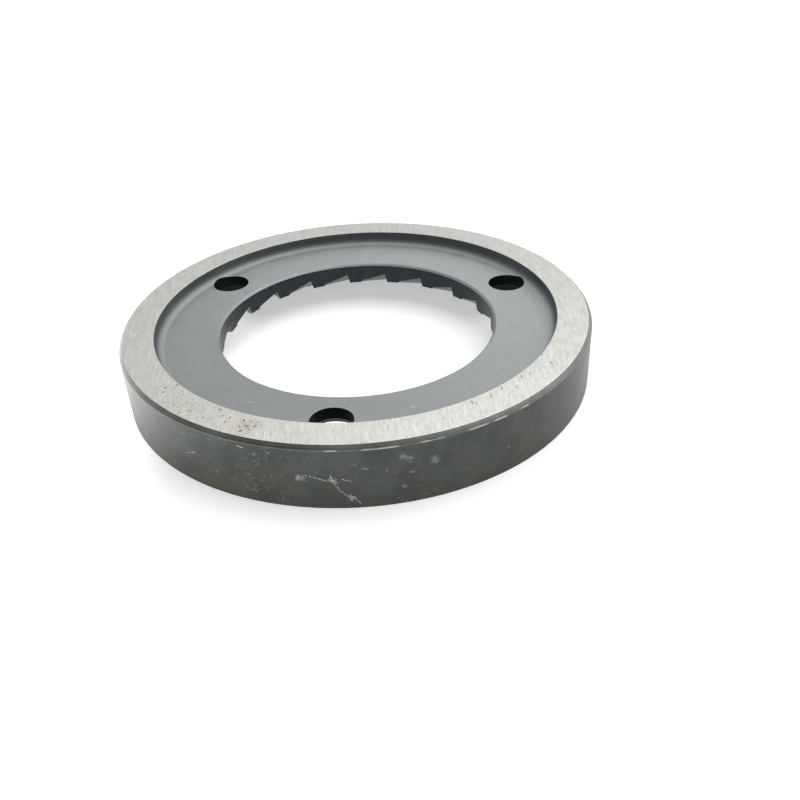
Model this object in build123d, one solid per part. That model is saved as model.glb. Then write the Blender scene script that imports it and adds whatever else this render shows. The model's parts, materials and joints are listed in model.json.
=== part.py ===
from build123d import *
import os
from math import atan2, cos, degrees, radians, sin, sqrt, tan

# Flat grinding burr of a coffee grinder: one hardened steel ring.
# It lies on its tooth lands (z = 0) with the mounting face up. All lengths are millimetres, angles degrees.
# Depths on the tooth side are measured up from the plane of the lands.

# Ring
outer_diameter = 64.0
bore_diameter = 38.0
height = 8.5
rim_chamfer = 0.5
bore_edge_chamfer = 0.3

# Locating recess turned into the mounting face
recess_diameter = 54.8
recess_depth = 1.9
recess_corner_radius = 1.2

# Screw holes, sunk from the tooth side for flat-headed screws
hole_count = 3
hole_circle_diameter = 48.4
hole_diameter = 5.3
hole_straight_length = 1.55
head_diameter = 10.4
head_cone_angle = 90.0
first_hole_angle = 30.0

# Feed cone between the bore and the grinding teeth
feed_diameter = 48.6
feed_depth_at_bore = 3.55
feed_depth_at_teeth = 1.95
tooth_end_angle = 45.0

# Grinding teeth: straight skewed vee grooves that leave a thin notch in the outer edge
groove_count = 56
groove_overrun = 0.2
groove_depth = 1.75
groove_skew = 19.5
groove_steep_angle = 58.0
groove_gentle_angle = 20.0
first_groove_angle = 2.5

# Breaker teeth: larger vee grooves that open into the bore and run out at the top of the feed cone
breaker_count = 20
breaker_edge_margin = 0.15
breaker_depth = 4.9
breaker_skew = 20.0
breaker_steep_angle = 75.0
breaker_gentle_angle = 33.0

# How far a cutter stands clear of what it cuts
cutter_margin = 0.5

outer_radius = outer_diameter / 2
bore_radius = bore_diameter / 2
recess_radius = recess_diameter / 2
recess_floor = height - recess_depth
feed_radius = feed_diameter / 2


def turned_blank():
    """Return the ring before its teeth and holes are cut."""
    teeth_start_radius = feed_radius + feed_depth_at_teeth / tan(radians(tooth_end_angle))
    outline = Polyline(
        (bore_radius, feed_depth_at_bore),
        (bore_radius, recess_floor),
        (recess_radius, recess_floor),
        (recess_radius, height),
        (outer_radius, height),
        (outer_radius, 0),
        (teeth_start_radius, 0),
        (feed_radius, feed_depth_at_teeth),
        close=True,
    )
    profile = make_face(outline)
    profile = chamfer(nearest_corner(profile, outer_radius, height), rim_chamfer)
    profile = fillet(nearest_corner(profile, recess_radius, recess_floor), recess_corner_radius)
    profile = chamfer(nearest_corner(profile, bore_radius, recess_floor), bore_edge_chamfer)
    return revolve(Plane.XZ * profile, Axis.Z)


def nearest_corner(profile, radius, z):
    """Return the corner of a flat profile that lies at a radius and height."""
    return profile.vertices().sort_by_distance((radius, z, 0))[0]


def cut_length(start_radius, end_radius, skew):
    """Return the plan length of a straight cut from one circle in to another, skewed from the radius."""
    start_offset = start_radius * sin(radians(skew))
    return start_radius * cos(radians(skew)) - sqrt(end_radius**2 - start_offset**2)


def vee_cutter(start_radius, start_depth, end_radius, end_depth, skew, steep_angle, gentle_angle):
    """Return a vee prism whose ridge climbs inwards from a start point on the X axis."""
    length = cut_length(start_radius, end_radius, skew)
    climb = (end_depth - start_depth) / length
    inward = Vector(-cos(radians(skew)), sin(radians(skew)), 0)
    across = Vector(sin(radians(skew)), cos(radians(skew)), 0)
    overrun = cutter_margin / cos(radians(skew)) + cutter_margin
    drop = end_depth + climb * overrun + cutter_margin
    section = make_face(
        Polyline(
            (0, 0),
            (-drop / tan(radians(steep_angle)), -drop),
            (drop / tan(radians(gentle_angle)), -drop),
            close=True,
        )
    )
    section_plane = Plane(origin=(start_radius, 0, start_depth), x_dir=across, z_dir=-inward)
    sweep_vector = (inward + Vector(0, 0, climb)) * (length + overrun)
    return Solid.extrude(section_plane * section.face(), sweep_vector)


def around_axis(cutter, count, first_angle):
    """Return copies of a cutter evenly spaced around the ring's axis."""
    return [Rot(0, 0, first_angle + 360 / count * index) * cutter for index in range(count)]


def grinding_cutters():
    """Return the cutters of all grinding grooves."""
    start_radius = outer_radius + groove_overrun
    cutter = vee_cutter(
        start_radius,
        0,
        feed_radius,
        groove_depth,
        groove_skew,
        groove_steep_angle,
        groove_gentle_angle,
    )
    return around_axis(cutter, groove_count, first_groove_angle)


def breaker_cutters():
    """Return the cutters of all breaker grooves, one steep face meeting the bore beside the first hole."""
    start_radius = feed_radius - breaker_edge_margin
    feed_slope = (feed_depth_at_bore - feed_depth_at_teeth) / (feed_radius - bore_radius)
    start_depth = feed_depth_at_teeth + feed_slope * breaker_edge_margin
    cutter = vee_cutter(
        start_radius,
        start_depth,
        bore_radius,
        breaker_depth,
        breaker_skew,
        breaker_steep_angle,
        breaker_gentle_angle,
    )
    length = cut_length(start_radius, bore_radius, breaker_skew)
    sideways = length * sin(radians(breaker_skew))
    turn_along_cut = degrees(atan2(sideways, start_radius - length * cos(radians(breaker_skew))))
    return around_axis(cutter, breaker_count, first_hole_angle - turn_along_cut)


def screw_hole_cutters():
    """Return the cutters of the sunk screw holes."""
    hole_radius = hole_diameter / 2
    head_radius = head_diameter / 2
    cone_top = recess_floor - hole_straight_length
    cone_bottom = cone_top - (head_radius - hole_radius) / tan(radians(head_cone_angle / 2))
    outline = Polyline(
        (0, -cutter_margin),
        (head_radius, -cutter_margin),
        (head_radius, cone_bottom),
        (hole_radius, cone_top),
        (hole_radius, height),
        (0, height),
        close=True,
    )
    cutter = Pos(hole_circle_diameter / 2, 0, 0) * revolve(Plane.XZ * make_face(outline), Axis.Z)
    return around_axis(cutter, hole_count, first_hole_angle)


burr = turned_blank()
burr = burr - breaker_cutters()
burr = burr - grinding_cutters()
burr = burr - screw_hole_cutters()

os.makedirs("parts", exist_ok=True)
export_step(burr, "parts/burr.step")
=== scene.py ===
import json
import math
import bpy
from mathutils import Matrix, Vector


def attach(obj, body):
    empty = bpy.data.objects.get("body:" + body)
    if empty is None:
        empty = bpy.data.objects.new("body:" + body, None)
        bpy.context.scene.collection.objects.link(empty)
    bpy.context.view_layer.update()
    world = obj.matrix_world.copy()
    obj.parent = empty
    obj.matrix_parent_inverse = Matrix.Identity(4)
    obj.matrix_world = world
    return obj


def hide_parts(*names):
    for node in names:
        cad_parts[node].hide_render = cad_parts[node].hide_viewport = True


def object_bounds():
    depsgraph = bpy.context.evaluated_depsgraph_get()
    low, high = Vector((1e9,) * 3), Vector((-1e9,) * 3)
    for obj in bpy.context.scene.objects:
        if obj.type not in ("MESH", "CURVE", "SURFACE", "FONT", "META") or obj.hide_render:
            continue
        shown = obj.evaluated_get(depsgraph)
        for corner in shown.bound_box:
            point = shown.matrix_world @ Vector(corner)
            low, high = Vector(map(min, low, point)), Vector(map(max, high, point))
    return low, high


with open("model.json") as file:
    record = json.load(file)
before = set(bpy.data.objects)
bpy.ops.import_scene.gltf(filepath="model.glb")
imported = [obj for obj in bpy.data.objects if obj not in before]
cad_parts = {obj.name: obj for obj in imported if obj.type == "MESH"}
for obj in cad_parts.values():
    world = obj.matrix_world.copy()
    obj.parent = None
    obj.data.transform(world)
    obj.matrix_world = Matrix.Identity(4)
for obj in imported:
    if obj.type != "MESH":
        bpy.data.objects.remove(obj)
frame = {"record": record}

from types import SimpleNamespace

import bpy
from bpy.props import FloatProperty, FloatVectorProperty, IntProperty, PointerProperty
from mathutils import Matrix, Vector

bl_info = {
    "name": "Grinder burr",
    "version": (1, 0, 0),
    "blender": (4, 5, 0),
    "location": "3D View > Sidebar > Burr",
    "description": "Builds a flat grinding burr with its finishes, and a plain studio to show it in",
    "category": "Mesh",
}

CAD_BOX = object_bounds()
MOUNTS = {mount["name"]: mount["dims"] for mount in frame["record"]["mounts"]}
BORE = MOUNTS["bore"]
RECESS = MOUNTS["locating_recess"]
HOLES = MOUNTS["screw_holes"]

MM = 0.001
WELD = 0.001 * MM
TINY = 0.01 * MM
SHARP_ANGLE = math.radians(30)
WHITE = (1.0, 1.0, 1.0, 1.0)

# Numbers of a mix node's colour sockets: the two that go in and the one that comes out
MIX_FIRST = 6
MIX_SECOND = 7
MIX_RESULT = 2

# Points on each rounded corner of the turned section
EDGE_POINTS = 3
RECESS_CORNER_POINTS = 12
CHAMFER_FOOT_POINTS = 5

# Directions of the grinding lines on both ground faces, and of those that cross them on the lands, in degrees
GRIND_ANGLE = -8.5
CROSS_GRIND_ANGLE = 52.0

# Milling lines: how many to the millimetre across and along a cut, and the shift from one cut to the next
LINES_ACROSS = 4.0
LINES_ALONG = 0.05
LINE_SHIFT = 7.3

# Sides of the ring in degrees round it: where painted light makes the rim, the wall and the recess floor
# paler, and where the chamfer is rubbed or seamed
PAINTED_LIGHT_RIM_SIDE = 255.0
PAINTED_LIGHT_WALL_SIDE = 215.0
PAINTED_LIGHT_FLOOR_SIDE = 75.0
RUBBED_SIDE = 330.0
SEAM_SIDE = 255.0

# Patches of rust and scuffs: x, y and reach in millimetres
RUST_CLUSTER = (-8.9, -28.2, 3.2)
RUSTY_SIDE = (-18.2, -23.2, 13.0)
SPECKLED_SIDE = (18.0, -21.5, 9.0)
SCUFFED_PATCH = (-8.0, -31.0, 6.5)

# Marks of use. Each stroke has two ends and a width in millimetres.
# On the rim and the recess floor an end is (x, y).
# On the wall it is (degrees round the ring, millimetres above the lands).
RIM_NICKS = (
    ((22.2, -17.6), (22.1, -17.0), 0.28),
    ((23.2, -16.8), (23.1, -16.4), 0.22),
    ((18.5, -21.8), (18.4, -21.1), 0.20),
    ((16.4, -23.1), (16.2, -22.5), 0.24),
    ((16.9, -23.4), (16.8, -22.9), 0.18),
    ((19.8, -20.1), (19.7, -19.5), 0.20),
    ((20.6, -21.6), (20.5, -20.9), 0.14),
    ((21.6, -20.0), (21.4, -19.2), 0.14),
    ((24.9, -12.3), (24.8, -11.8), 0.20),
    ((26.0, -14.6), (25.8, -13.8), 0.24),
    ((13.2, -26.4), (13.1, -25.9), 0.14),
)
FLOOR_NICKS = (
    ((-10.6, -20.5), (-9.8, -20.4), 0.30),
    ((-19.4, -10.1), (-19.1, -9.9), 0.30),
    ((2.0, -20.9), (2.3, -20.8), 0.22),
    ((9.2, -21.1), (9.7, -21.0), 0.35),
    ((-11.7, 15.5), (-11.3, 15.8), 0.35),
    ((-6.8, 18.3), (-6.3, 18.5), 0.35),
    ((0.5, 19.5), (1.0, 19.5), 0.35),
)
WALL_SCRATCHES = (
    ((265.0, 4.10), (265.9, 4.85), 0.18),
    ((265.6, 4.85), (266.7, 4.55), 0.18),
    ((265.2, 4.60), (266.2, 4.15), 0.16),
    ((266.3, 4.75), (267.2, 4.95), 0.14),
    ((267.9, 4.76), (269.6, 4.49), 0.16),
    ((269.6, 4.49), (271.3, 4.16), 0.18),
    ((272.0, 4.90), (272.3, 4.20), 0.24),
    ((271.6, 4.35), (273.0, 4.31), 0.26),
    ((272.2, 4.40), (273.4, 3.77), 0.16),
    ((272.2, 4.20), (272.9, 3.59), 0.16),
    ((272.9, 3.59), (273.6, 2.89), 0.18),
    ((273.6, 2.89), (274.7, 2.21), 0.16),
    ((274.7, 2.21), (275.8, 1.75), 0.18),
    ((275.7, 2.24), (275.9, 1.30), 0.22),
    ((275.4, 1.75), (276.6, 1.90), 0.24),
    ((276.5, 1.72), (277.6, 0.89), 0.16),
    ((274.3, 4.44), (276.0, 4.12), 0.14),
    ((238.7, 4.19), (241.6, 4.82), 0.14),
    ((253.2, 7.85), (254.4, 7.70), 0.20),
    ((259.3, 7.67), (260.2, 7.45), 0.10),
)
WALL_SMUDGES = (
    ((286.4, 6.80), (287.9, 6.50), 1.00),
    ((292.8, 5.65), (293.2, 5.45), 1.50),
    ((288.0, 4.46), (288.6, 4.40), 0.60),
    ((286.3, 2.75), (286.7, 2.60), 0.70),
    ((247.0, 3.25), (247.2, 3.15), 0.60),
    ((239.1, 7.15), (239.4, 7.20), 0.60),
    ((276.6, 6.40), (277.2, 6.20), 0.34),
    ((278.6, 5.90), (279.4, 5.70), 0.34),
    ((283.2, 5.50), (283.1, 5.10), 0.34),
    ((265.4, 4.50), (266.6, 4.50), 1.10),
    ((272.0, 4.40), (272.5, 4.35), 1.00),
    ((275.8, 1.70), (276.2, 1.70), 0.90),
)
# Single pits in the rim: degrees round the ring, radius and width; each is a short stroke
RIM_PITS = (
    (225.7, 27.6, 0.34),
    (226.4, 28.2, 0.24),
    (224.8, 28.9, 0.40),
    (226.2, 29.5, 0.28),
    (234.6, 29.0, 0.28),
    (234.3, 29.6, 0.22),
    (232.7, 30.2, 0.32),
    (237.6, 29.9, 0.30),
    (236.0, 30.8, 0.20),
    (243.2, 27.9, 0.40),
    (247.4, 28.7, 0.38),
    (247.5, 29.6, 0.24),
    (245.4, 28.8, 0.34),
    (241.9, 30.1, 0.22),
    (243.5, 29.9, 0.18),
    (251.1, 28.6, 0.46),
    (253.1, 29.5, 0.32),
    (254.5, 29.2, 0.32),
    (252.7, 28.4, 0.30),
    (252.4, 29.4, 0.32),
    (251.3, 29.8, 0.28),
    (252.4, 30.5, 0.44),
    (254.2, 30.0, 0.28),
    (259.0, 30.1, 0.26),
)
PIT_RUN = Vector((0.05, 0.1))
# Where the lower edge of the rim chamfer is worn bright, in degrees round the ring
WORN_EDGE = (
    (270.6, 273.2),
    (278.0, 285.2),
    (289.6, 294.6),
    (299.8, 304.2),
    (305.8, 309.2),
    (312.8, 315.2),
)

# Where the stronger glow of the floor on the left starts and is full, in millimetres along X
GLOW_START = -18.0
GLOW_FULL = -50.0

# Camera values that stay as they are
SENSOR_WIDTH = 36.0
NEAREST_SEEN = 5.0 * MM


def length(name, description, millimetres):
    """Return a length property whose default is given in millimetres."""
    return FloatProperty(
        name=name, description=description, default=millimetres * MM, min=0.0, precision=5, unit="LENGTH"
    )


def angle(name, description, degrees):
    """Return an angle property whose default is given in degrees."""
    return FloatProperty(name=name, description=description, default=math.radians(degrees), unit="ROTATION")


def count(name, description, number):
    """Return a counting property."""
    return IntProperty(name=name, description=description, default=number, min=1)


def amount(name, description, number, unit="NONE"):
    """Return a plain number property, with a unit if it has one."""
    return FloatProperty(name=name, description=description, default=number, unit=unit)


def colour(name, description, red, green, blue):
    """Return a linear colour property."""
    return FloatVectorProperty(
        name=name, description=description, default=(red, green, blue), min=0.0, max=1.0, subtype="COLOR"
    )


def point(name, description, x, y, z):
    """Return a property for a point whose default is given in millimetres."""
    return FloatVectorProperty(
        name=name,
        description=description,
        default=(x * MM, y * MM, z * MM),
        precision=5,
        subtype="TRANSLATION",
    )


class BurrRing(bpy.types.PropertyGroup):
    """Sizes of the turned ring and its screw holes."""

    outer_radius: length("Outer radius", "Radius of the outer wall", CAD_BOX[1].x / MM)
    bore_radius: length("Bore radius", "Radius of the bore", BORE["r_mm"])
    height: length("Height", "From the tooth lands to the mounting rim", CAD_BOX[1].z / MM)
    rim_chamfer: length("Rim chamfer", "Chamfer on the outer edge of the rim", 0.5)
    bore_edge: length("Bore edge", "Chamfer where the bore meets the recess floor", 0.3)
    edge_break: length("Edge break", "Radius of the turned edges that are only just broken", 0.07)
    chamfer_foot: length("Chamfer foot", "Radius where the rim chamfer runs into the wall", 0.3)
    recess_radius: length("Recess radius", "Radius of the locating recess", RECESS["r_mm"])
    recess_depth: length("Recess depth", "Depth of the locating recess", 1.9)
    recess_corner: length("Recess corner", "Radius at the foot of the recess wall", 1.2)
    feed_radius: length("Feed radius", "Where the feed cone meets the grinding teeth", 24.3)
    feed_depth_at_bore: length("Feed depth at bore", "Depth of the feed cone at the bore", 3.55)
    feed_depth_at_teeth: length("Feed depth at teeth", "Depth of the feed cone at the teeth", 1.95)
    tooth_end_angle: angle("Tooth end angle", "Slope of the inner ends of the grinding teeth", 45.0)
    hole_count: count("Screw holes", "Number of screw holes", HOLES["count"])
    hole_circle: length("Hole circle", "Diameter of the circle of screw holes", HOLES["pcd_mm"])
    hole_radius: length("Hole radius", "Radius of each screw hole", HOLES["hole_r_mm"])
    hole_straight_length: length("Hole straight length", "Straight part of each screw hole", 1.55)
    head_radius: length("Head radius", "Radius of the seat of each screw head", 5.2)
    head_half_angle: angle("Head half angle", "Half the cone angle under a screw head", 45.0)
    first_hole_angle: angle("First hole angle", "Direction of the first screw hole", 30.0)
    segments: count("Ring segments", "Facets around the ring", 448)
    hole_segments: count("Hole segments", "Facets around each screw hole", 96)


class BurrTeeth(bpy.types.PropertyGroup):
    """Sizes of the grinding teeth and the breaker teeth."""

    groove_count: count("Grooves", "Number of grinding grooves", 56)
    groove_overrun: length("Groove overrun", "How far outside the wall a groove starts", 0.2)
    groove_depth: length("Groove depth", "Depth of a groove at its inner end", 1.75)
    groove_skew: angle("Groove skew", "Turn of a groove away from the radius", 19.5)
    groove_steep: angle("Groove steep side", "Slope of the steep side of a groove", 58.0)
    groove_gentle: angle("Groove gentle side", "Slope of the gentle side of a groove", 20.0)
    first_groove_angle: angle("First groove angle", "Direction of the first groove", 2.5)
    breaker_count: count("Breaker teeth", "Number of breaker teeth", 20)
    breaker_margin: length("Breaker margin", "Gap from a breaker groove to the grinding teeth", 0.15)
    breaker_depth: length("Breaker depth", "Depth of a breaker groove at the bore", 4.9)
    breaker_skew: angle("Breaker skew", "Turn of a breaker groove away from the radius", 20.0)
    breaker_steep: angle("Breaker steep side", "Slope of the steep side of a breaker groove", 75.0)
    breaker_gentle: angle("Breaker gentle side", "Slope of the gentle side of a breaker groove", 33.0)
    cutter_margin: length("Cutter margin", "How far a cutter stands clear of what it cuts", 0.5)


class BurrFinish(bpy.types.PropertyGroup):
    """Colours of the finishes."""

    ground_steel: colour("Ground steel", "Rim and tooth lands", 0.537, 0.538, 0.509)
    oxide_wall: colour("Oxide wall", "Hardened outer wall", 0.067, 0.074, 0.069)
    wall_stain: colour("Wall stain", "Brown stains low on the outer wall", 0.076, 0.071, 0.06)
    turned_chamfer: colour("Turned chamfer", "Chamfer between the rim and the wall", 0.202, 0.208, 0.198)
    satin_recess: colour("Satin recess", "Recess floor", 0.33, 0.35, 0.353)
    # Painted shade: the recess wall and its corner get a darker colour than the floor
    recess_wall: colour("Recess wall", "Wall round the recess floor", 0.141, 0.157, 0.159)
    dark_bore: colour("Dark bore", "Bore and hole walls", 0.031, 0.037, 0.04)
    milled_teeth: colour("Milled teeth", "Sides of the grooves", 0.15, 0.158, 0.168)
    bare_steel: colour("Bare steel", "Scratches and worn edges", 0.6, 0.6, 0.58)
    pit: colour("Pit", "Pits and nicks in the ground faces", 0.085, 0.068, 0.05)
    rust: colour("Rust", "Rust film round the pits", 0.44, 0.37, 0.27)


class BurrStage(bpy.types.PropertyGroup):
    """Camera, light and floor."""

    camera_azimuth: angle("Camera azimuth", "Turn of the camera round the burr", 6.15)
    camera_elevation: angle("Camera elevation", "Height of the camera above the horizon", 33.38)
    camera_roll: angle("Camera roll", "Tilt of the camera about its own axis", 2.89)
    camera_distance: length("Camera distance", "From the camera to the point it aims at", 97.43)
    camera_aim: point("Camera aim", "Point that the camera aims at", 7.91, -22.69, 8.5)
    camera_lens: amount("Camera lens", "Focal length in millimetres on a sensor 36 mm wide", 38.08, "CAMERA")
    floor_colour: colour("Floor colour", "Pale matt floor", 0.86, 0.865, 0.87)
    floor_width: length("Floor width", "Width of the floor", 100000.0)
    floor_glow: amount("Floor glow", "Light that comes up through the floor", 0.45)
    left_glow: amount("Left glow", "Light that comes up through the floor on the left", 2.4)
    sky_level: amount("Sky level", "Mean strength of the light from the room", 0.307)
    sky_horizon: amount("Sky horizon", "Least strength of the light from the horizon", 0.5)
    haze_fall: amount("Haze fall", "How quickly the white haze at the horizon fades with height", 4.5)
    sky_lean: FloatVectorProperty(
        name="Sky lean",
        description="How much the light from the room grows along each axis",
        default=(0.19, 0.63, 0.34),
        subtype="XYZ",
    )
    key_power: amount("Key power", "Power of the soft light overhead", 2.2, "POWER")
    key_width: length("Key width", "Width of the soft light overhead", 900.0)
    key_place: point("Key place", "Where the soft light overhead hangs", 150.0, 140.0, 540.0)
    left_card_power: amount("Left card power", "Power of the pale card on the left", 0.04, "POWER")
    left_card_width: length("Left card width", "Width of the pale card on the left", 150.0)
    left_card_place: point("Left card place", "Where the left card stands", -270.0, 120.0, 50.0)
    right_card_power: amount("Right card power", "Power of the pale card on the right", 0.22, "POWER")
    right_card_width: length("Right card width", "Width of the pale card on the right", 450.0)
    right_card_place: point("Right card place", "Where the right card stands", 340.0, 200.0, 200.0)


def reckoning(operation):
    """Return a method that does a sum with a wire, and with another value where the sum takes two."""

    def method(wire, *others):
        return wire.nodes.math(operation, wire, *others)

    return method


class Wire:
    """One output of a node, which can be reckoned with."""

    __add__ = __radd__ = reckoning("ADD")
    __sub__ = reckoning("SUBTRACT")
    __mul__ = reckoning("MULTIPLY")
    __truediv__ = reckoning("DIVIDE")
    __gt__ = reckoning("GREATER_THAN")
    __lt__ = reckoning("LESS_THAN")
    sin = reckoning("SINE")
    cos = reckoning("COSINE")
    tan = reckoning("TANGENT")
    atan2 = reckoning("ARCTAN2")
    sqrt = reckoning("SQRT")
    abs = reckoning("ABSOLUTE")

    def __init__(self, nodes, socket):
        self.nodes = nodes
        self.socket = socket

    def __rsub__(self, other):
        return self.nodes.math("SUBTRACT", other, self)

    def __neg__(self):
        return self * -1.0

    def out(self, name):
        """Return another output of the same node."""
        return Wire(self.nodes, self.socket.node.outputs[name])


class Nodes:
    """Adds nodes to one tree and wires them."""

    def __init__(self, tree):
        self.tree = tree

    def add(self, kind, inputs=None, output=0, **settings):
        """Add a node with its settings and inputs, and return the wire from one of its outputs."""
        node = self.tree.nodes.new(kind)
        for name, value in settings.items():
            setattr(node, name, value)
        for socket, value in (inputs or {}).items():
            self.feed(node.inputs[socket], value)
        if not node.outputs:
            return None
        return Wire(self, node.outputs[output])

    def feed(self, socket, value):
        """Link a wire to a socket, or set the socket's own value."""
        if isinstance(value, Wire):
            self.tree.links.new(value.socket, socket)
        else:
            socket.default_value = value

    def math(self, operation, *values):
        """Return the result of a sum of numbers."""
        return self.add("ShaderNodeMath", dict(enumerate(values)), operation=operation)

    def vector_math(self, operation, *vectors, output="Vector", **inputs):
        """Return the result of a sum of vectors."""
        inputs.update(enumerate(vectors))
        return self.add("ShaderNodeVectorMath", inputs, output, operation=operation)

    def vector(self, x=0.0, y=0.0, z=0.0):
        """Return a vector of three parts."""
        return self.add("ShaderNodeCombineXYZ", {"X": x, "Y": y, "Z": z})

    def split(self, vector):
        """Return the three parts of a vector."""
        x = self.add("ShaderNodeSeparateXYZ", {"Vector": vector})
        return x, x.out("Y"), x.out("Z")

    def most(self, *values):
        """Return the greatest of several values."""
        result = values[0]
        for value in values[1:]:
            result = self.math("MAXIMUM", result, value)
        return result


class GeometryNodes(Nodes):
    """Nodes for building a mesh."""

    def choose(self, kind, index, options):
        """Return the option that belongs to each index."""
        switch = self.add("GeometryNodeIndexSwitch", {"Index": index}, data_type=kind)
        node = switch.socket.node
        while len(node.index_switch_items) < len(options):
            node.index_switch_items.new()
        for number, option in enumerate(options):
            self.feed(node.inputs[number + 1], option)
        return switch

    def closed_outline(self, corners, rounding=None):
        """Return a closed curve through corners, some of them rounded: {corner: (radius, points)}."""
        index = self.add("GeometryNodeInputIndex")
        position = self.choose("VECTOR", index, [self.vector(x, y) for x, y in corners])
        points = self.add("GeometryNodePoints", {"Count": len(corners), "Position": position})
        curve = self.add("GeometryNodePointsToCurves", {"Points": points})
        outline = self.add("GeometryNodeSetSplineCyclic", {"Geometry": curve, "Cyclic": True})
        if not rounding:
            return outline
        rounds = [rounding.get(number, (0.0, 1)) for number in range(len(corners))]
        radius = self.choose("FLOAT", index, [radius for radius, steps in rounds])
        steps = self.choose("INT", index, [steps for radius, steps in rounds])
        return self.add(
            "GeometryNodeFilletCurve",
            {"Curve": outline, "Count": steps, "Radius": radius, "Limit Radius": True},
            mode="POLY",
        )

    def upright(self, curve):
        """Return a curve whose sections stand upright, with the section's Y pointing down."""
        return self.add("GeometryNodeSetCurveNormal", {"Curve": curve}, mode="Z_UP")

    def turned(self, corners, path_radius, segments, rounding=None):
        """Return a solid of revolution from corners given as radius and height."""
        flat_corners = [(radius - path_radius, -height) for radius, height in corners]
        section = self.closed_outline(flat_corners, rounding)
        circle = self.add(
            "GeometryNodeCurvePrimitiveCircle", {"Resolution": segments, "Radius": path_radius}, mode="RADIUS"
        )
        mesh = self.add("GeometryNodeCurveToMesh", {"Curve": self.upright(circle), "Profile Curve": section})
        return self.add("GeometryNodeMergeByDistance", {"Geometry": mesh, "Distance": WELD})

    def vee_cutter(self, cut, margin):
        """Return a vee prism whose ridge climbs inwards from a start point on the X axis."""
        run = cut_length(cut, Wire)
        climb = (cut.end_depth - cut.start_depth) / run
        reach = run + margin + margin / cut.skew.cos()
        end_depth = cut.start_depth + climb * reach
        drop = end_depth + margin
        start = self.vector(cut.start_radius, 0.0, cut.start_depth)
        end = self.vector(cut.start_radius - cut.skew.cos() * reach, cut.skew.sin() * reach, end_depth)
        line = self.add("GeometryNodeCurvePrimitiveLine", {"Start": start, "End": end}, mode="POINTS")
        square_drop = drop / (climb * climb + 1.0).sqrt()
        corners = [
            (0.0, 0.0),
            (drop / cut.gentle.tan(), square_drop),
            (-drop / cut.steep.tan(), square_drop),
        ]
        return self.add(
            "GeometryNodeCurveToMesh",
            {"Curve": self.upright(line), "Profile Curve": self.closed_outline(corners), "Fill Caps": True},
        )

    def around_axis(self, geometry, number, first_angle):
        """Return copies of a geometry evenly spaced around the Z axis."""
        points = self.add("GeometryNodePoints", {"Count": number})
        index = self.add("GeometryNodeInputIndex")
        turn = self.add(
            "FunctionNodeAxisAngleToRotation",
            {"Axis": (0.0, 0.0, 1.0), "Angle": first_angle + index * math.tau / number},
        )
        return self.add(
            "GeometryNodeInstanceOnPoints", {"Points": points, "Instance": geometry, "Rotation": turn}
        )

    def paint(self, geometry, material, faces=True):
        """Return a geometry with a material on some of its faces."""
        inputs = {"Geometry": geometry, "Selection": faces, "Material": material}
        return self.add("GeometryNodeSetMaterial", inputs)


# The sizes of a cut are worked out alike from wires, with Wire's sums, and from plain numbers, with math's.


def feed_slope(size):
    """Return the slope of the feed cone."""
    return (size.feed_depth_at_bore - size.feed_depth_at_teeth) / (size.feed_radius - size.bore_radius)


def grinding_cut(size):
    """Return the sizes of one grinding groove."""
    return SimpleNamespace(
        start_radius=size.outer_radius + size.groove_overrun,
        start_depth=0.0,
        end_radius=size.feed_radius,
        end_depth=size.groove_depth,
        skew=size.groove_skew,
        steep=size.groove_steep,
        gentle=size.groove_gentle,
    )


def breaker_cut(size):
    """Return the sizes of one breaker groove."""
    return SimpleNamespace(
        start_radius=size.feed_radius - size.breaker_margin,
        start_depth=size.feed_depth_at_teeth + feed_slope(size) * size.breaker_margin,
        end_radius=size.bore_radius,
        end_depth=size.breaker_depth,
        skew=size.breaker_skew,
        steep=size.breaker_steep,
        gentle=size.breaker_gentle,
    )


def cut_length(cut, sums):
    """Return the plan length of a straight cut from one circle in to another, skewed from the radius."""
    aside = cut.start_radius * sums.sin(cut.skew)
    inner = sums.sqrt(cut.end_radius * cut.end_radius - aside * aside)
    return cut.start_radius * sums.cos(cut.skew) - inner


def first_breaker_angle(size, sums):
    """Return where the first breaker cut starts; its steep face meets the bore beside the first hole."""
    cut = breaker_cut(size)
    run = cut_length(cut, sums)
    turn = sums.atan2(run * sums.sin(cut.skew), cut.start_radius - run * sums.cos(cut.skew))
    return size.first_hole_angle - turn


def each_size(groups):
    """Return the key, the definition and the value of every size in the property groups."""
    return [
        (key, group.bl_rna.properties[key], getattr(group, key))
        for group in groups
        for key in group.__annotations__
    ]


def size_inputs(tree, groups):
    """Give a tree one named input for each size in the property groups.

    Return the tree's nodes, the values by input and the wires by size.
    """
    kinds = {"INT": "NodeSocketInt", "FLOAT": "NodeSocketFloat"}
    subtypes = {"LENGTH": "DISTANCE", "ROTATION": "ANGLE"}
    values = {}
    names = {}
    for key, definition, value in each_size(groups):
        socket = tree.interface.new_socket(
            definition.name,
            description=definition.description,
            in_out="INPUT",
            socket_type=kinds[definition.type],
        )
        if definition.unit in subtypes:
            socket.subtype = subtypes[definition.unit]
        values[socket.identifier] = value
        names[key] = socket.identifier
    nodes = GeometryNodes(tree)
    sizes = nodes.add("NodeGroupInput")
    outputs = {output.identifier: output for output in sizes.socket.node.outputs}
    wires = {key: Wire(nodes, outputs[identifier]) for key, identifier in names.items()}
    return nodes, values, SimpleNamespace(**wires)


def plain_sizes(groups):
    """Return the sizes in the property groups as plain numbers, with lengths in millimetres."""
    sizes = {}
    for key, definition, value in each_size(groups):
        sizes[key] = value / MM if definition.unit == "LENGTH" else value
    return SimpleNamespace(**sizes)


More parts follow.
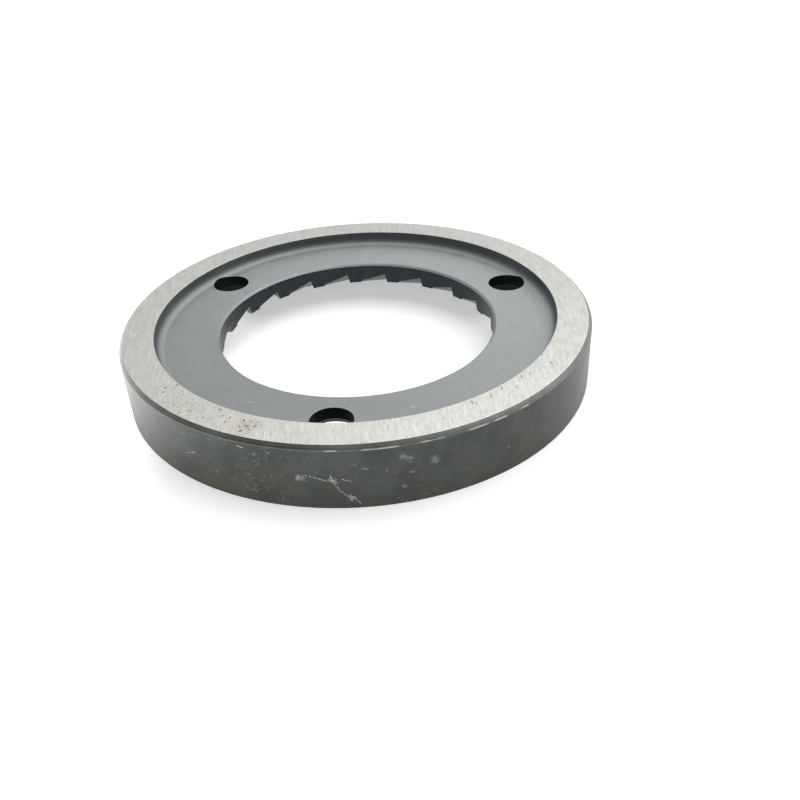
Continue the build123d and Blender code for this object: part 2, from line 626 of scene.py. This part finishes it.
def burr_tree(groups, finishes):
    """Build the node tree of the whole burr; return it with the values of its inputs."""
    tree = bpy.data.node_groups.new("grinding_burr", "GeometryNodeTree")
    tree.interface.new_socket("Geometry", in_out="OUTPUT", socket_type="NodeSocketGeometry")
    nodes, values, size = size_inputs(tree, groups)
    blank = painted_blank(nodes, size, finishes)
    breakers = nodes.paint(breaker_cutters(nodes, size), finishes["milled_teeth"])
    grooves = nodes.paint(grinding_cutters(nodes, size), finishes["milled_teeth"])
    holes = nodes.paint(hole_cutters(nodes, size), finishes["dark_bore"])
    cut = nodes.add("GeometryNodeMeshBoolean", {"Mesh 1": blank}, operation="DIFFERENCE", solver="MANIFOLD")
    for cutters in (breakers, grooves, holes):
        tree.links.new(cutters.socket, cut.socket.node.inputs["Mesh 2"])
    solid = nodes.add("GeometryNodeRealizeInstances", {"Geometry": cut})
    lands = nodes.split(nodes.add("GeometryNodeInputPosition"))[2] < TINY
    dressed = nodes.paint(solid, finishes["ground_face"], lands)
    nodes.add("NodeGroupOutput", {"Geometry": dressed})
    return tree, values


def painted_blank(nodes, size, finishes):
    """Return the ring before its teeth and holes are cut, each turned face with its finish."""
    recess_floor = size.height - size.recess_depth
    teeth_start = size.feed_radius + size.feed_depth_at_teeth / size.tooth_end_angle.tan()
    corners = [
        (size.bore_radius, size.feed_depth_at_bore),
        (size.bore_radius, recess_floor - size.bore_edge),
        (size.bore_radius + size.bore_edge, recess_floor),
        (size.recess_radius, recess_floor),
        (size.recess_radius, size.height),
        (size.outer_radius - size.rim_chamfer, size.height),
        (size.outer_radius, size.height - size.rim_chamfer),
        (size.outer_radius, 0.0),
        (teeth_start, 0.0),
        (size.feed_radius, size.feed_depth_at_teeth),
    ]
    broken_edge = (size.edge_break, EDGE_POINTS)
    rounding = {
        1: broken_edge,
        2: broken_edge,
        3: (size.recess_corner, RECESS_CORNER_POINTS),
        4: broken_edge,
        5: broken_edge,
        6: (size.chamfer_foot, CHAMFER_FOOT_POINTS),
    }
    blank = nodes.turned(corners, size.recess_radius, size.segments, rounding)
    x, y, z = nodes.split(nodes.add("GeometryNodeInputPosition"))
    radius = (x * x + y * y).sqrt()
    blank = nodes.paint(blank, finishes["milled_teeth"])
    blank = nodes.paint(blank, finishes["oxide_wall"], radius > size.outer_radius - size.rim_chamfer)
    blank = nodes.paint(blank, finishes["dark_bore"], radius < size.bore_radius + TINY)
    in_recess = (z > recess_floor - size.bore_edge) * (radius < size.recess_radius + TINY)
    blank = nodes.paint(blank, finishes["satin_recess"], in_recess)
    on_rim = z > size.height - size.edge_break / 2.0
    return nodes.paint(blank, finishes["ground_face"], on_rim)


def grinding_cutters(nodes, size):
    """Return the cutters of all grinding grooves."""
    cutter = nodes.vee_cutter(grinding_cut(size), size.cutter_margin)
    return nodes.around_axis(cutter, size.groove_count, size.first_groove_angle)


def breaker_cutters(nodes, size):
    """Return the cutters of all breaker grooves."""
    cutter = nodes.vee_cutter(breaker_cut(size), size.cutter_margin)
    return nodes.around_axis(cutter, size.breaker_count, first_breaker_angle(size, Wire))


def hole_cutters(nodes, size):
    """Return the cutters of the sunk screw holes."""
    cone_top = size.height - size.recess_depth - size.hole_straight_length
    cone_bottom = cone_top - (size.head_radius - size.hole_radius) / size.head_half_angle.tan()
    above = size.height + size.cutter_margin
    corners = [
        (0.0, -size.cutter_margin),
        (0.0, above),
        (size.hole_radius, above),
        (size.hole_radius, cone_top),
        (size.head_radius, cone_bottom),
        (size.head_radius, -size.cutter_margin),
    ]
    cutter = nodes.turned(corners, size.hole_radius, size.hole_segments)
    aside = nodes.add(
        "GeometryNodeTransform", {"Geometry": cutter, "Translation": nodes.vector(size.hole_circle / 2.0)}
    )
    return nodes.around_axis(aside, size.hole_count, size.first_hole_angle)


class Shader(Nodes):
    """Nodes of one finish. Lengths in it are millimetres."""

    def __init__(self, name):
        material = bpy.data.materials.new(name)
        material.use_nodes = True
        material.node_tree.nodes.clear()
        super().__init__(material.node_tree)
        self.material = material
        self.place = self.scaled(self.add("ShaderNodeTexCoord", output="Object"), (1.0 / MM,) * 3)
        self.x, self.y, self.height = self.split(self.place)
        self.radius = (self.x * self.x + self.y * self.y).sqrt()
        self.turn = self.y.atan2(self.x)
        self.plan = self.vector(self.x, self.y)

    def scaled(self, vector, factors):
        """Return a vector stretched along each axis."""
        return self.add("ShaderNodeMapping", {"Vector": vector, "Scale": factors}, vector_type="POINT")

    def turned(self, vector, turn):
        """Return a vector turned about Z by an angle."""
        return self.add("ShaderNodeVectorRotate", {"Vector": vector, "Angle": turn}, rotation_type="Z_AXIS")

    def noise(self, vector, scale, detail=3.0, roughness=0.55):
        """Return smooth noise from 0 to 1, with so many lumps to the millimetre."""
        return self.add(
            "ShaderNodeTexNoise",
            {"Vector": vector, "Scale": scale, "Detail": detail, "Roughness": roughness},
        )

    def drawn_noise(self, vector, scales, detail=3.0, roughness=0.55):
        """Return noise that is drawn out, with so many lumps to the millimetre along each axis."""
        return self.noise(self.scaled(vector, scales), 1.0, detail, roughness)

    def rings(self, across, along, roughness=0.55):
        """Return noise drawn out into rings, with so many lumps to the millimetre across and along them."""
        pattern = self.vector(self.radius * across, self.x * along, self.y * along)
        return self.noise(pattern, 1.0, roughness=roughness)

    def shaken(self, vector, scale, reach):
        """Return a vector shaken by noise, so that shapes on it get ragged outlines."""
        shake = self.noise(vector, scale, 2.0).out("Color")
        return self.vector_math("MULTIPLY_ADD", shake, (reach, reach, 0.0), vector)

    def ramp(self, value, low, high):
        """Return a smooth step from 0 at low to 1 at high, which may be the smaller of the two."""
        return self.add(
            "ShaderNodeMapRange",
            {"Value": value, "From Min": low, "From Max": high},
            interpolation_type="SMOOTHSTEP",
            clamp=False,
        )

    def spread(self, value, low, high):
        """Return a value from 0 to 1 spread between two limits."""
        return self.add("ShaderNodeMapRange", {"Value": value, "To Min": low, "To Max": high}, clamp=False)

    def band(self, value, low, high, soft):
        """Return 1 between two limits, with a soft edge on both sides."""
        return self.ramp(value, low - soft, low + soft) * self.ramp(value, high + soft, high - soft)

    def near(self, x, y, reach):
        """Return a mask that fades from 1 over a point in plan to 0 at a reach from it."""
        gap = self.vector_math("DISTANCE", self.plan, (x, y, 0.0), output="Value")
        return self.ramp(gap, reach, 0.0)

    def towards(self, degrees):
        """Return 1 on the side of the ring at an angle, falling to -1 on the side across from it."""
        return (self.turn - math.radians(degrees)).cos()

    def stroke(self, vector, start, end, width, core):
        """Return a mask of a straight stroke between two points, with a full core in a soft edge."""
        start = Vector((*start, 0.0))
        way = Vector((*end, 0.0)) - start
        offset = self.vector_math("SUBTRACT", vector, start)
        along = self.vector_math("DOT_PRODUCT", offset, way / way.length_squared, output="Value")
        within = self.math("MINIMUM", self.math("MAXIMUM", along, 0.0), 1.0)
        nearest = self.vector_math("SCALE", way, Scale=within)
        gap = self.vector_math("DISTANCE", offset, nearest, output="Value")
        return self.ramp(gap, width / 2.0, core * width / 2.0)

    def strokes(self, vector, marks, core=0.33):
        """Return a mask of many strokes, joined one by one so that few values wait at a time."""
        result = self.stroke(vector, *marks[0], core)
        for mark in marks[1:]:
            result = self.most(result, self.stroke(vector, *mark, core))
        return result

    def mix(self, share, first, second):
        """Return a colour between two."""
        inputs = {0: share, MIX_FIRST: opaque(first), MIX_SECOND: opaque(second)}
        return self.add("ShaderNodeMix", inputs, MIX_RESULT, data_type="RGBA", clamp_factor=True)

    def tinted(self, paint, tone):
        """Return a colour made lighter or darker by a factor."""
        return self.vector_math("SCALE", paint, Scale=tone)

    def bump(self, height, depth, below=None):
        """Return a normal roughened by a height from 0 to 1 that is depth millimetres high."""
        inputs = {"Height": height, "Distance": depth * MM}
        if below:
            inputs["Normal"] = below
        return self.add("ShaderNodeBump", inputs)

    def finish(self, **inputs):
        """End the tree in a shader with these inputs, and return the material."""
        sockets = {name.replace("_", " ").title(): value for name, value in inputs.items()}
        surface = self.add("ShaderNodeBsdfPrincipled", sockets)
        self.add("ShaderNodeOutputMaterial", {"Surface": surface})
        return self.material

    def steel(self, base, roughness, *bumps):
        """End the tree in metal with bumps, each a height and a depth, and return the material."""
        normal = None
        for height, depth in bumps:
            normal = self.bump(height, depth, normal)
        return self.finish(base_color=base, metallic=1.0, roughness=roughness, normal=normal)


def opaque(paint):
    """Return a plain colour with full alpha, or a wire as it is."""
    if isinstance(paint, Wire):
        return paint
    return (*paint, 1.0)


def front_turn(degrees):
    """Return the turn that a finish reads at an angle from 180 to 360 degrees, which is negative."""
    return math.radians(degrees - 360.0)


def wall_marks(marks, radius):
    """Return strokes on the outer wall as millimetres round it and millimetres up it."""
    return [
        ((front_turn(start[0]) * radius, start[1]), (front_turn(end[0]) * radius, end[1]), width)
        for start, end, width in marks
    ]


def pit_marks(pits):
    """Return short strokes for single pits in the rim."""
    marks = []
    for degrees, radius, width in pits:
        turn = math.radians(degrees)
        start = Vector((radius * math.cos(turn), radius * math.sin(turn)))
        marks.append((start, start + PIT_RUN, width))
    return marks


def ground_face(size, finish):
    """Surface-ground steel of the rim and the tooth lands: straight lines, pits, nicks and rust specks."""
    shader = Shader("ground_face")
    on_rim = shader.height > size.height / 2.0
    lined = shader.turned(shader.place, math.radians(GRIND_ANGLE))
    lines = shader.drawn_noise(lined, (3.2, 0.5, 1.0), roughness=0.75)
    steel = shader.tinted(finish.ground_steel, ground_tone(shader, lined, lines, on_rim))
    cluster = shader.near(*RUST_CLUSTER)
    rusty_side = shader.most(shader.near(*RUSTY_SIDE), shader.near(*SPECKLED_SIDE) * 0.4)
    crowd = shader.most(cluster * 0.17, rusty_side * 0.08)
    lumps = shader.noise(shader.shaken(shader.plan, 5.0, 0.2), 2.4, 2.0) + crowd
    grit = shader.noise(shader.plan, 5.0, 2.0) + crowd
    pits = shader.most(shader.ramp(lumps, 0.79, 0.86), shader.ramp(grit, 0.76, 0.82))
    rust = shader.most(shader.ramp(lumps, 0.54, 0.74) * shader.ramp(crowd, 0.01, 0.08), cluster * 0.6)
    ragged = shader.shaken(shader.plan, 6.0, 0.3)
    nicks = shader.strokes(ragged, RIM_NICKS) * shader.ramp(shader.noise(shader.plan, 4.0), 0.3, 0.55)
    nicks = shader.most(nicks, shader.strokes(ragged, pit_marks(RIM_PITS))) * on_rim
    dark = shader.most(pits * 0.6, nicks * 0.68)
    base = shader.mix(rust * 0.5, steel, finish.rust)
    base = shader.mix(dark, base, finish.pit)
    roughness = shader.spread(lines, 0.34, 0.5) + dark * 0.25 + rust * 0.15
    return shader.steel(base, roughness, (lines, 0.006), (dark, -0.03))


def ground_tone(shader, lined, lines, on_rim):
    """Return how light the ground steel is: hairs and bands along its lines, cross lines on the lands, and
    painted light that makes one side of the ring paler.
    """
    crossed = shader.turned(shader.place, math.radians(CROSS_GRIND_ANGLE))
    hairs = shader.drawn_noise(lined, (9.0, 0.9, 1.0), 2.0)
    bands = shader.drawn_noise(lined, (1.2, 0.06, 1.0))
    cross_lines = shader.drawn_noise(crossed, (6.0, 0.3, 1.0), 2.0)
    blotches = shader.noise(shader.place, 0.5, 4.0)
    tone = shader.spread(lines, 0.68, 1.3) * shader.spread(bands, 0.95, 1.05)
    tone = tone * shader.spread(blotches, 0.9, 1.1)
    tone = tone * (1.0 - shader.ramp(hairs, 0.58, 0.74) * 0.3) * (1.0 + shader.ramp(hairs, 0.42, 0.28) * 0.16)
    tone = tone * (1.0 + (1.0 - on_rim) * (cross_lines - 0.5) * 0.6)
    # Painted light: the ground steel is made paler on one side of the ring
    return tone * (1.0 + shader.towards(PAINTED_LIGHT_RIM_SIDE) * 0.06)


def oxide_wall(size, finish):
    """Hardened outer wall: a dull oxide skin with stains and scratches, painted light that makes one side
    paler, and a chamfer with a worn edge.
    """
    shader = Shader("oxide_wall")
    chamfer_foot = size.height - size.rim_chamfer
    unrolled = shader.vector(shader.turn * size.outer_radius, shader.height)
    blotches = shader.noise(shader.place, 0.3, 4.0)
    grain = shader.noise(shader.place, 5.0, roughness=0.7)
    turning = shader.drawn_noise(shader.place, (0.06, 0.06, 7.0), 2.0)
    tone = shader.spread(shader.ramp(blotches, 0.3, 0.7), 0.86, 1.14) * shader.spread(grain, 0.76, 1.24)
    # Painted light: the wall and the chamfer are made paler on one side of the ring
    tone = tone * shader.spread(turning, 0.93, 1.07) * (1.0 + shader.towards(PAINTED_LIGHT_WALL_SIDE) * 0.2)
    base = wall_colour(shader, finish, chamfer_foot, tone)
    worn = worn_chamfer(shader, chamfer_foot)
    ragged = shader.shaken(shader.shaken(unrolled, 3.0, 0.35), 9.0, 0.24)
    scratches = shader.strokes(ragged, wall_marks(WALL_SCRATCHES, size.outer_radius))
    scratches = scratches * shader.ramp(shader.noise(unrolled, 5.0, 2.0), 0.38, 0.56)
    blurred = shader.shaken(unrolled, 1.2, 0.6)
    smudges = shader.strokes(blurred, wall_marks(WALL_SMUDGES, size.outer_radius), 0.0)
    brushed = shader.drawn_noise(unrolled, (1.1, 6.0, 1.0), 4.0, 0.7)
    smudges = smudges * shader.ramp(brushed, 0.34, 0.66)
    flecks = shader.ramp(shader.noise(shader.place, 2.8, 4.0, 0.65), 0.65, 0.78)
    bright = shader.most(worn, scratches * 0.68, smudges * 0.3, flecks * 0.2, wall_scuffs(shader) * 0.28)
    base = shader.mix(bright, base, finish.bare_steel)
    roughness = shader.spread(blotches, 0.32, 0.46) - bright * 0.05
    return shader.steel(base, roughness, (grain, 0.004), (turning, 0.003), (scratches, -0.01))


def wall_colour(shader, finish, chamfer_foot, tone):
    """Return the colour of the wall with its stains, and of the chamfer with the dark lines along it."""
    skin = shader.tinted(finish.oxide_wall, tone)
    low = shader.ramp(shader.height, chamfer_foot, 0.0)
    stain = low * shader.ramp(shader.noise(shader.place, 0.28, 4.0), 0.4, 0.62)
    skin = shader.mix(stain, skin, shader.tinted(finish.wall_stain, tone))
    on_chamfer = shader.ramp(shader.height, chamfer_foot - 0.06, chamfer_foot + 0.1)
    base = shader.mix(on_chamfer, skin, shader.tinted(finish.turned_chamfer, tone))
    seam_side = shader.ramp(shader.towards(SEAM_SIDE), 0.93, 0.985)
    seam = shader.band(shader.height, chamfer_foot + 0.12, chamfer_foot + 0.2, 0.04)
    top_edge = shader.ramp(shader.height, chamfer_foot + 0.38, chamfer_foot + 0.46)
    dark_lines = shader.most(seam * shader.spread(seam_side, 0.2, 0.9), top_edge)
    return shader.mix(dark_lines * 0.5, base, finish.pit)


def worn_chamfer(shader, chamfer_foot):
    """Return a mask of the chamfer's foot where it is worn bright, and where it is only rubbed."""
    streaks = shader.drawn_noise(shader.place, (0.6, 0.6, 7.0), 4.0, 0.65)
    lengths = [
        shader.band(shader.turn, front_turn(start), front_turn(end), 0.015) for start, end in WORN_EDGE
    ]
    worn_line = shader.band(shader.height, chamfer_foot - 0.08, chamfer_foot + 0.07, 0.04)
    worn = shader.most(*lengths) * shader.ramp(streaks, 0.36, 0.5) * worn_line
    rubbed_side = shader.ramp(shader.towards(RUBBED_SIDE), 0.0, 0.75)
    rubbed_line = shader.band(shader.height, chamfer_foot - 0.06, chamfer_foot + 0.04, 0.05)
    rubbed = shader.spread(streaks, 0.15, 0.6) * rubbed_line * rubbed_side
    return shader.most(worn, rubbed * 0.72)


def wall_scuffs(shader):
    """Return a mask of fine scuffs that wander over the wall, full in one patch and fainter elsewhere."""
    wander = (shader.noise(shader.place, 0.55) - 0.5).abs()
    elsewhere = shader.ramp(shader.noise(shader.place, 0.35, 2.0), 0.5, 0.62) * 0.6
    scuffs = shader.ramp(wander, 0.02, 0.002) * shader.most(elsewhere, shader.near(*SCUFFED_PATCH))
    return scuffs * shader.ramp(shader.noise(shader.place, 3.5), 0.42, 0.64)


def satin_recess(size, finish):
    """Matt floor of the recess, paler on one side by painted light, with painted shade on the wall round it
    and a few bright nicks.
    """
    shader = Shader("satin_recess")
    floor_level = size.height - size.recess_depth
    blotches = shader.noise(shader.place, 0.3, 4.0)
    grain = shader.noise(shader.place, 6.0, 2.0)
    rings = shader.rings(6.0, 0.08)
    tone = shader.spread(blotches, 0.88, 1.12) * shader.spread(grain, 0.9, 1.1)
    # Painted light: the recess floor is made paler on one side of the ring
    tone = tone * shader.spread(rings, 0.97, 1.03) * (1.0 + shader.towards(PAINTED_LIGHT_FLOOR_SIDE) * 0.13)
    # Painted shade: the colour darkens from the recess floor up its corner and wall
    painted_shade_up_wall = shader.ramp(shader.height, floor_level, floor_level + 0.75)
    base = shader.mix(
        painted_shade_up_wall, shader.tinted(finish.satin_recess, tone), shader.tinted(finish.recess_wall, tone)
    )
    ragged = shader.shaken(shader.plan, 4.0, 0.4)
    nicks = shader.strokes(ragged, FLOOR_NICKS) * shader.ramp(shader.noise(shader.plan, 5.0), 0.35, 0.55)
    specks = shader.ramp(shader.noise(shader.plan, 2.4), 0.74, 0.82)
    base = shader.mix(shader.most(nicks * 0.6, specks * 0.3), base, finish.bare_steel)
    roughness = shader.spread(blotches, 0.56, 0.66)
    return shader.steel(base, roughness, (rings, 0.0015), (grain, 0.004))


def dark_bore(size, finish):
    """Dark oxide in the bore and the screw holes, with painted shade that makes the holes darker still."""
    shader = Shader("dark_bore")
    blotches = shader.noise(shader.place, 0.4, 4.0)
    turning = shader.drawn_noise(shader.place, (0.1, 0.1, 6.0), 2.0)
    tone = shader.spread(blotches, 0.75, 1.25) * shader.spread(turning, 0.85, 1.15)
    in_holes = shader.ramp(shader.radius, size.bore_radius + 0.4, size.bore_radius + 1.0)
    # Painted shade: the screw holes are made darker than the bore
    base = shader.tinted(finish.dark_bore, tone * shader.spread(in_holes, 1.0, 0.6))
    roughness = shader.spread(blotches, 0.34, 0.48) + in_holes * 0.3
    return shader.steel(base, roughness, (turning, 0.004))


def milled_teeth(size, finish):
    """Milled grooves: lines along each cut, rings on the feed cone and crests rubbed bright."""
    shader = Shader("milled_teeth")
    grinding = cut_lines(shader, grinding_cut(size), size.groove_count, size.first_groove_angle)
    breaking = cut_lines(shader, breaker_cut(size), size.breaker_count, first_breaker_angle(size, math))
    outside = shader.ramp(shader.radius, size.feed_radius - 0.1, size.feed_radius + 0.1)
    milled = outside * grinding + (1.0 - outside) * breaking
    cone_height = (size.feed_radius - shader.radius) * feed_slope(size) + size.feed_depth_at_teeth
    on_cone = shader.band(shader.height - cone_height, -0.04, 0.04, 0.02)
    rings = shader.rings(5.0, 0.06, 0.6)
    lines = shader.ramp(milled + on_cone * (rings - milled), 0.3, 0.7)
    blotches = shader.noise(shader.place, 0.5, 4.0)
    grain = shader.noise(shader.place, 5.0, 2.0)
    tone = shader.spread(lines, 0.76, 1.24) * shader.spread(blotches, 0.8, 1.2)
    tone = tone * shader.spread(grain, 0.94, 1.06)
    skin = shader.tinted(finish.milled_teeth, tone)
    crests = shader.ramp(shader.height, 0.3, 0.0)
    rubbed = crests * shader.ramp(shader.noise(shader.place, 0.8, 2.0), 0.3, 0.7)
    base = shader.mix(rubbed * 0.5, skin, finish.bare_steel)
    roughness = shader.spread(lines, 0.28, 0.42)
    return shader.steel(base, roughness, (lines, 0.004), (grain, 0.0015))


def cut_lines(shader, cut, number, first_angle):
    """Return noise drawn out along straight skewed cuts round the ring, different in each cut."""
    step = math.tau / number
    aside = cut.start_radius * math.sin(cut.skew)
    climb = (cut.end_depth - cut.start_depth) / cut_length(cut, math)
    bottom_share = math.tan(cut.gentle) / (math.tan(cut.steep) + math.tan(cut.gentle))
    way_in = cut.start_radius * math.cos(cut.skew) - (shader.radius * shader.radius - aside * aside).sqrt()
    turn_along = shader.math("ARCSINE", way_in * math.sin(cut.skew) / shader.radius)
    cut_number = shader.math("FLOOR", (shader.turn - turn_along - first_angle) / step + bottom_share)
    level = shader.turned(shader.place, -(cut_number * step + (first_angle - cut.skew)))
    along, across, height = shader.split(level)
    pattern = shader.vector(
        along * LINES_ALONG,
        across * LINES_ACROSS + cut_number * LINE_SHIFT,
        (height + along * climb) * LINES_ACROSS,
    )
    return shader.noise(pattern, 1.0, roughness=0.6)


FINISHES = (ground_face, oxide_wall, satin_recess, dark_bore, milled_teeth)


class BURR_OT_make_burr(bpy.types.Operator):
    """Build the burr with its finishes in place of the plain solid"""

    bl_idname = "burr.make_burr"
    bl_label = "Make burr"

    def execute(self, context):
        scene = context.scene
        groups = (scene.burr_ring, scene.burr_teeth)
        size = plain_sizes(groups)
        finishes = {make.__name__: make(size, scene.burr_finish) for make in FINISHES}
        tree, values = burr_tree(groups, finishes)
        source = bpy.data.objects.new("burr_source", bpy.data.meshes.new("burr_source"))
        scene.collection.objects.link(source)
        modifier = source.modifiers.new("grinding_burr", "NODES")
        modifier.node_group = tree
        for identifier, value in values.items():
            modifier[identifier] = value
        evaluated = source.evaluated_get(context.evaluated_depsgraph_get())
        mesh = bpy.data.meshes.new_from_object(evaluated)
        bpy.data.objects.remove(source)
        if not mesh.polygons:
            raise RuntimeError("the burr came out empty")
        mesh.name = "grinding_burr"
        mesh.shade_smooth()
        mesh.set_sharp_from_angle(angle=SHARP_ANGLE)
        burr = bpy.data.objects.new("grinding_burr", mesh)
        scene.collection.objects.link(burr)
        normals = burr.modifiers.new("even_faces", "WEIGHTED_NORMAL")
        normals.keep_sharp = True
        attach(burr, "root")
        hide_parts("burr")
        return {"FINISHED"}


class BURR_OT_set_stage(bpy.types.Operator):
    """Set the floor, the lights and the camera"""

    bl_idname = "burr.set_stage"
    bl_label = "Set stage"

    def execute(self, context):
        scene = context.scene
        stage = scene.burr_stage
        self.lay_floor(scene, stage)
        self.light_room(scene, stage)
        for name in ("key", "left_card", "right_card"):
            self.hang_light(scene, stage, name)
        self.place_camera(scene, stage)
        scene.view_settings.view_transform = "Standard"
        return {"FINISHED"}

    def lay_floor(self, scene, stage):
        """Lay a wide pale floor under the burr, which glows more on the left."""
        half = stage.floor_width / 2.0
        corners = [(-half, -half, 0.0), (half, -half, 0.0), (half, half, 0.0), (-half, half, 0.0)]
        mesh = bpy.data.meshes.new("floor")
        mesh.from_pydata(corners, [], [(0, 1, 2, 3)])
        shader = Shader("pale_floor")
        clouds = shader.noise(shader.place, 0.01, 2.0)
        base = shader.tinted(stage.floor_colour, shader.spread(clouds, 0.99, 1.01))
        on_left = shader.ramp(shader.x, GLOW_START, GLOW_FULL)
        glow = shader.spread(on_left, stage.floor_glow, stage.left_glow)
        pale_floor = shader.finish(
            base_color=base, roughness=0.8, emission_color=WHITE, emission_strength=glow
        )
        mesh.materials.append(pale_floor)
        floor = bpy.data.objects.new("floor", mesh)
        scene.collection.objects.link(floor)

    def light_room(self, scene, stage):
        """Make a room that is pale behind the burr, dim behind the camera and hazy at the horizon."""
        world = bpy.data.worlds.new("studio_room")
        world.use_nodes = True
        world.node_tree.nodes.clear()
        nodes = Nodes(world.node_tree)
        direction = nodes.add("ShaderNodeTexCoord", output="Generated")
        height = nodes.split(direction)[2]
        lean = nodes.vector_math("DOT_PRODUCT", direction, stage.sky_lean, output="Value")
        horizon = (1.0 - height) * stage.sky_horizon
        haze = 1.0 - height * stage.haze_fall
        strength = nodes.most(lean + stage.sky_level, horizon, haze)
        room = nodes.add("ShaderNodeBackground", {"Color": WHITE, "Strength": strength})
        nodes.add("ShaderNodeOutputWorld", {"Surface": room})
        scene.world = world

    def hang_light(self, scene, stage, name):
        """Hang a round soft light that faces the burr, from the settings that start with its name."""
        light = bpy.data.lights.new(name, "AREA")
        light.shape = "DISK"
        light.size = getattr(stage, name + "_width")
        light.energy = getattr(stage, name + "_power")
        lamp = bpy.data.objects.new(name, light)
        lamp.location = getattr(stage, name + "_place")
        lamp.visible_camera = False
        lamp.rotation_euler = lamp.location.to_track_quat("Z", "Y").to_euler()
        scene.collection.objects.link(lamp)

    def place_camera(self, scene, stage):
        """Look at the burr from the photograph's angle."""
        azimuth = stage.camera_azimuth
        elevation = stage.camera_elevation
        back = Vector(
            (
                math.sin(azimuth) * math.cos(elevation),
                -math.cos(azimuth) * math.cos(elevation),
                math.sin(elevation),
            )
        )
        camera = bpy.data.objects.new("camera", bpy.data.cameras.new("camera"))
        camera.data.lens = stage.camera_lens
        camera.data.sensor_width = SENSOR_WIDTH
        camera.data.clip_start = NEAREST_SEEN
        camera.location = Vector(stage.camera_aim) + back * stage.camera_distance
        facing = (-back).to_track_quat("-Z", "Y").to_matrix()
        roll = Matrix.Rotation(-stage.camera_roll, 3, "Z")
        camera.rotation_euler = (facing @ roll).to_euler()
        scene.collection.objects.link(camera)
        scene.camera = camera


class BURR_PT_panel(bpy.types.Panel):
    """Lists the steps and the sizes of the burr"""

    bl_idname = "BURR_PT_panel"
    bl_label = "Grinder burr"
    bl_space_type = "VIEW_3D"
    bl_region_type = "UI"
    bl_category = "Burr"

    def draw(self, context):
        layout = self.layout
        layout.operator(BURR_OT_make_burr.bl_idname)
        layout.operator(BURR_OT_set_stage.bl_idname)
        for title, attribute in SETTINGS.items():
            box = layout.box()
            box.label(text=title)
            group = getattr(context.scene, attribute)
            for key in group.__annotations__:
                box.prop(group, key)


SETTINGS = {"Ring": "burr_ring", "Teeth": "burr_teeth", "Finish": "burr_finish", "Stage": "burr_stage"}
GROUPS = (BurrRing, BurrTeeth, BurrFinish, BurrStage)
CLASSES = (*GROUPS, BURR_OT_make_burr, BURR_OT_set_stage, BURR_PT_panel)


def register():
    """Register the classes and the settings."""
    for cls in CLASSES:
        bpy.utils.register_class(cls)
    for attribute, group in zip(SETTINGS.values(), GROUPS):
        setattr(bpy.types.Scene, attribute, PointerProperty(type=group))


def unregister():
    """Take the settings and the classes away again."""
    for attribute in SETTINGS.values():
        delattr(bpy.types.Scene, attribute)
    for cls in reversed(CLASSES):
        bpy.utils.unregister_class(cls)


def main():
    """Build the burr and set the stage."""
    register()
    bpy.ops.burr.make_burr()
    bpy.ops.burr.set_stage()


if __name__ == "__main__":
    main()
